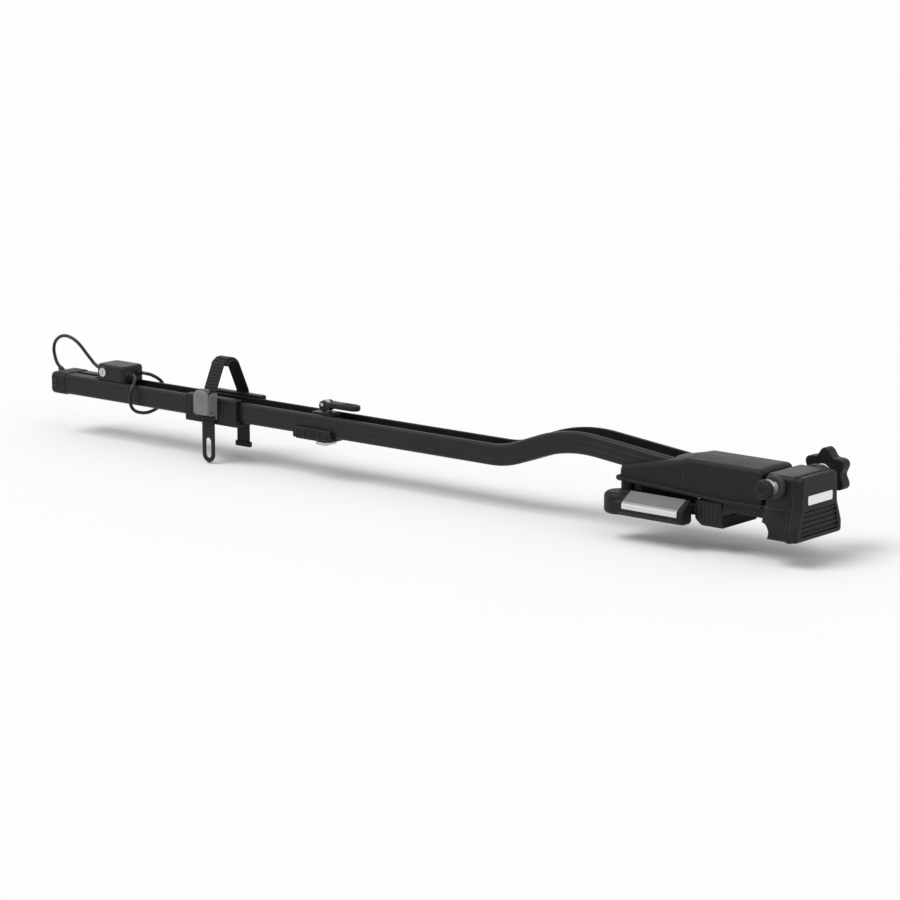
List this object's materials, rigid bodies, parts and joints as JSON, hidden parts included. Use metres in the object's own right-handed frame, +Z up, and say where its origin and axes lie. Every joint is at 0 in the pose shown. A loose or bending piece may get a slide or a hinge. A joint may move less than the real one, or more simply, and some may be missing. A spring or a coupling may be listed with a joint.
{
  "type": "roof mounted bike carrier",
  "caption": "Roof bar bike carrier with a bent wheel rail, a fork clamp with axle and star knob at the front, a sliding ratchet wheel strap and a cable lock.",
  "frame": {"origin": "on the top of the front roof bar, under the middle of the carrier's front rubber pad", "axes": "+X forward along the car, +Y to the car's left, away from the levers, +Z up"},
  "size_m": [1.3866, 0.1586, 0.1497],
  "materials": {
    "anodised_black": "black anodised, satin",
    "moulded_black": "fine-grained moulded plastic",
    "cast_black": "powder coated, satin",
    "cable_black": "smooth plastic-covered steel cable",
    "dark_grey": "moulded plastic",
    "strap_black": "soft toothed strap",
    "rubber_black": "matt rubber",
    "glide_white": "slippery plastic",
    "buckle_grey": "moulded plastic, mid grey",
    "steel": "zinc plated",
    "brushed_aluminium": "brushed lengthwise",
    "brass": "turned",
    "badge_white": "plain and glossy"
  },
  "bodies": {
    "carrier": {"rail": "anodised_black", "rail_end_cap": "moulded_black", "cable_gland": "dark_grey", "lock_cable": "cable_black", "lock_noose": "cable_black", "stored_cable": "cable_black", "cable_stop": "brass", "lock_box": "cast_black", "rear_saddle": "moulded_black", "rear_saddle_pad": "rubber_black", "rear_cam_block": "moulded_black", "rear_wear_plate": "steel", "front_base": "moulded_black", "front_bar_pad": "rubber_black", "front_claw_pad": "rubber_black", "rail_bolts": "steel", "housing_rear": "moulded_black", "housing_front": "moulded_black", "housing_screws": "steel", "lever_pin": "steel", "jaw_guide_pins": "steel", "jaw_springs": "steel", "head_body": "cast_black", "head_bolts": "steel", "head_front_cover": "moulded_black", "cover_screws": "steel", "badge_plate": "badge_white", "axle_sleeve": "steel", "dropout_adapter_near": "dark_grey", "dropout_adapter_far": "dark_grey", "thru_axle": "steel", "axle_end_cap": "moulded_black"},
    "key_core": {"lock_core": "steel"},
    "wheel_strap": {"wheel_carriage": "moulded_black", "carriage_glides": "glide_white", "rim_strap": "strap_black", "rim_pad": "rubber_black", "buckle_frame": "buckle_grey", "buckle_screws": "steel", "buckle_pins": "steel", "pawl_spring": "steel"},
    "strap_lever": {"ratchet_lever": "buckle_grey"},
    "strap_pawl": {"buckle_pawl": "buckle_grey"},
    "tee_bolt": {"rear_tee_bolt": "steel", "rear_cam_pin": "steel"},
    "cam_lever": {"rear_cam_lever": "moulded_black"},
    "bar_lever": {"clamp_lever": "moulded_black", "lever_inlay": "brushed_aluminium"},
    "bar_jaw": {"clamp_jaw": "cast_black", "clamp_jaw_pad": "rubber_black"},
    "fork_cup": {"thrust_cup": "steel"},
    "fork_knob": {"axle_knob": "moulded_black", "knob_hub": "brass", "clutch_spring": "steel", "knob_cap": "dark_grey"}
  },
  "joints": [
    {"name": "key_turn", "type": "hinge", "parent": "carrier", "child": "key_core", "pos_m": [-1.1755, -0.022, 0.048], "axis": [0, -1, 0], "range_deg": [0, 90]},
    {"name": "strap_slide", "type": "slide", "parent": "carrier", "child": "wheel_strap", "axis": [1, 0, 0], "range_m": [-0.09, 0.09]},
    {"name": "ratchet_turn", "type": "hinge", "parent": "wheel_strap", "child": "strap_lever", "pos_m": [-0.945, -0.0447, 0.02], "axis": [1, 0, 0], "range_deg": [0, 80]},
    {"name": "pawl_turn", "type": "hinge", "parent": "wheel_strap", "child": "strap_pawl", "pos_m": [-0.945, -0.0432, 0.041], "axis": [1, 0, 0], "range_deg": [0, 20], "stiffness_Nm_per_rad": 0.2},
    {"name": "bolt_drop", "type": "slide", "parent": "carrier", "child": "tee_bolt", "axis": [0, 0, -1], "range_m": [0, 0.0046]},
    {"name": "rear_cam_turn", "type": "hinge", "parent": "tee_bolt", "child": "cam_lever", "pos_m": [-0.75, 0, 0.04896], "axis": [0, -1, 0], "range_deg": [0, 100]},
    {"name": "bar_lever_turn", "type": "hinge", "parent": "carrier", "child": "bar_lever", "pos_m": [-0.196, -0.028, -0.006], "axis": [0, 0, -1], "range_deg": [0, 95]},
    {"name": "jaw_slide", "type": "slide", "parent": "carrier", "child": "bar_jaw", "axis": [-1, 0, 0], "range_m": [0, 0.01], "deforming": ["jaw_springs"]},
    {"name": "cup_slide", "type": "slide", "parent": "carrier", "child": "fork_cup", "axis": [0, 1, 0], "range_m": [0, 0.00525]},
    {"name": "knob_turn", "type": "hinge", "parent": "fork_cup", "child": "fork_knob", "pos_m": [0.046, 0.0656, 0.046], "axis": [0, 1, 0], "range_deg": [0, 1080]}
  ],
  "couplings": [
    {"joint": "bolt_drop", "follows": "rear_cam_turn", "m_per_rad": 0.0026356},
    {"joint": "jaw_slide", "follows": "bar_lever_turn", "m_per_rad": 0.0060311},
    {"joint": "cup_slide", "follows": "knob_turn", "m_per_rad": 0.00027852}
  ]
}
